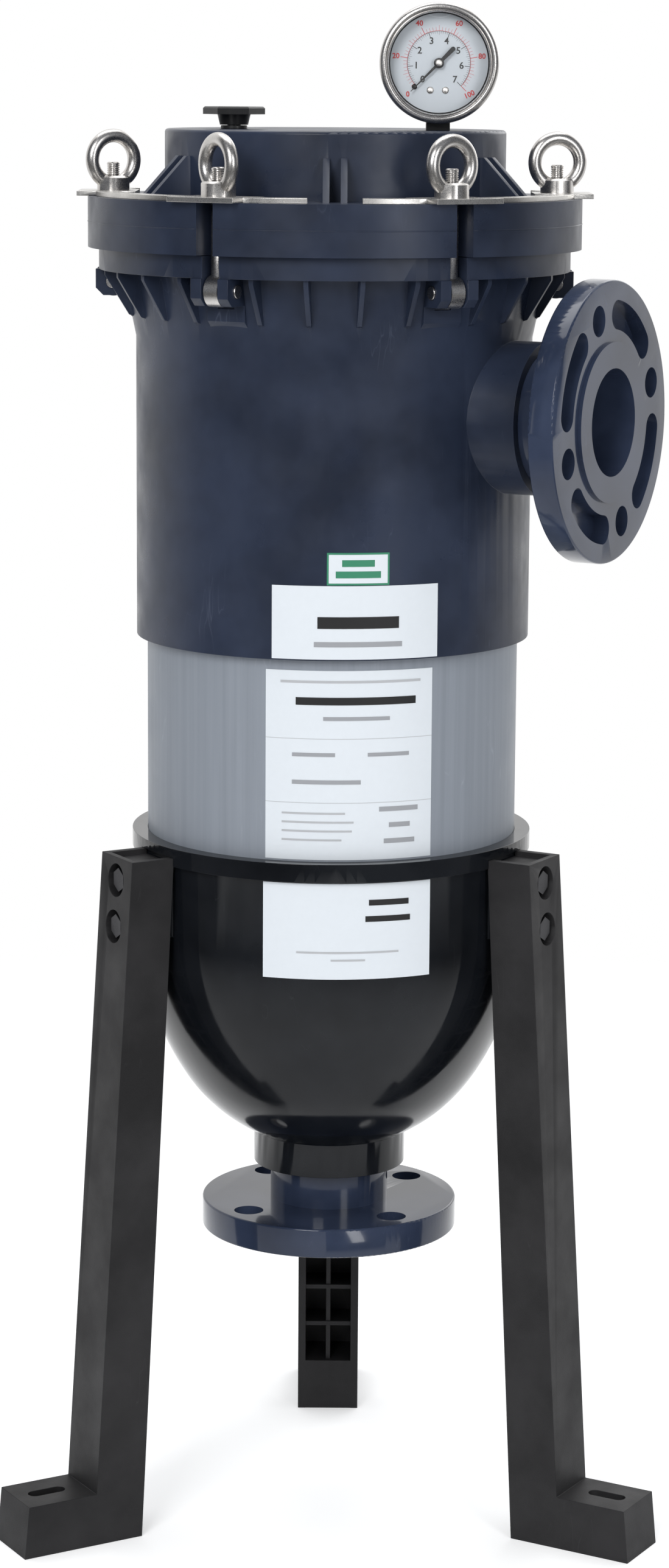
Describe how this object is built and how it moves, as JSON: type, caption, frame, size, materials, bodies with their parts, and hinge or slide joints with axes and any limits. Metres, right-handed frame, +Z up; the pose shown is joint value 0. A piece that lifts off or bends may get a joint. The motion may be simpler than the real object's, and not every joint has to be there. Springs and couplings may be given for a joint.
{
  "type": "bag filter housing",
  "caption": "Plastic bag filter housing on legs: bolted lid with swing bolts, side inlet, bottom outlet, pressure gauge and vent.",
  "frame": {"origin": "on the vessel's axis at the floor, under the outlet", "axes": "+Z up the vessel's axis, -Y to the front where the gauge looks, +X to the right"},
  "size_m": [0.4034, 0.3776, 0.924],
  "materials": {
    "moulded_body": "semi-gloss dark slate moulded plastic",
    "flange_plastic": "semi-gloss dark slate moulded plastic",
    "grey_pipe": "smooth mid grey pipe",
    "black_body": "glossy near black moulded plastic",
    "leg_plastic": "matt charcoal moulded plastic",
    "stainless": "stainless steel",
    "dark_steel": "blackened steel screws",
    "silicone": "silicone seal",
    "gauge_black": "black painted metal",
    "gauge_glass": "clear",
    "dial_white": "white dial",
    "brass": "plain",
    "knob_black": "black",
    "basket_plastic": "natural plastic",
    "felt": "needle felt"
  },
  "bodies": {
    "housing": {"upper_body": "moulded_body", "side_flange": "flange_plastic", "body_pipe": "grey_pipe", "lower_body": "black_body", "bottom_flange": "flange_plastic", "leg_left": "leg_plastic", "leg_right": "leg_plastic", "leg_back": "leg_plastic", "leg_bolts": "dark_steel", "basket_seat_ring": "moulded_body", "lid_o_ring": "silicone", "hinge_pins": "stainless", "swing_bolt_1": "stainless", "swing_bolt_2": "stainless", "swing_bolt_3": "stainless", "swing_bolt_4": "stainless", "swing_bolt_5": "stainless", "swing_bolt_6": "stainless"},
    "lid": {"lid": "moulded_body", "locking_plate_1": "stainless", "locking_plate_2": "stainless", "locking_plate_3": "stainless", "gauge_socket": "gauge_black", "gauge_case": "gauge_black", "gauge_bezel": "stainless", "gauge_lens": "gauge_glass", "gauge_dial": "dial_white", "bourdon_tube": "brass", "gauge_movement": "brass", "vent_body": "stainless", "vent_seal": "silicone"},
    "basket": {"basket": "basket_plastic", "filter_bag": "felt", "bag_ring": "basket_plastic", "hold_down": "basket_plastic"},
    "vent_knob": {"vent_knob": "knob_black"},
    "gauge_pointer": {"gauge_pointer": "gauge_black"},
    "eye_nut_1": {"eye_nut_1": "stainless"},
    "eye_nut_2": {"eye_nut_2": "stainless"},
    "eye_nut_3": {"eye_nut_3": "stainless"},
    "eye_nut_4": {"eye_nut_4": "stainless"},
    "eye_nut_5": {"eye_nut_5": "stainless"},
    "eye_nut_6": {"eye_nut_6": "stainless"}
  },
  "joints": [
    {"name": "lid_lift", "type": "slide", "parent": "housing", "child": "lid", "axis": [0, 0, 1], "range_m": [0, 0.7]},
    {"name": "basket_lift", "type": "slide", "parent": "housing", "child": "basket", "axis": [0, 0, 1], "range_m": [0, 0.525]},
    {"name": "eye_nut_1_turn", "type": "hinge", "parent": "lid", "child": "eye_nut_1", "pos_m": [-0.0662, 0.11466, 0.8135], "axis": [0, 0, 1], "continuous": true},
    {"name": "eye_nut_2_turn", "type": "hinge", "parent": "lid", "child": "eye_nut_2", "pos_m": [-0.1324, 0, 0.8135], "axis": [0, 0, 1], "continuous": true},
    {"name": "eye_nut_3_turn", "type": "hinge", "parent": "lid", "child": "eye_nut_3", "pos_m": [-0.0662, -0.11466, 0.8135], "axis": [0, 0, 1], "continuous": true},
    {"name": "eye_nut_4_turn", "type": "hinge", "parent": "lid", "child": "eye_nut_4", "pos_m": [0.0662, -0.11466, 0.8135], "axis": [0, 0, 1], "continuous": true},
    {"name": "eye_nut_5_turn", "type": "hinge", "parent": "lid", "child": "eye_nut_5", "pos_m": [0.1324, 0, 0.8135], "axis": [0, 0, 1], "continuous": true},
    {"name": "eye_nut_6_turn", "type": "hinge", "parent": "lid", "child": "eye_nut_6", "pos_m": [0.0662, 0.11466, 0.8135], "axis": [0, 0, 1], "continuous": true},
    {"name": "vent_knob_turn", "type": "hinge", "parent": "lid", "child": "vent_knob", "pos_m": [-0.0605, 0, 0.85], "axis": [0, 0, 1], "range_deg": [0, 540]},
    {"name": "gauge_pointer_turn", "type": "hinge", "parent": "lid", "child": "gauge_pointer", "pos_m": [0.0604, -0.0265, 0.889], "axis": [0, 1, 0], "range_deg": [0, 270]}
  ],
  "couplings": [
    {"joint": "basket_lift", "follows": "lid_lift", "ratio": 0.75}
  ]
}
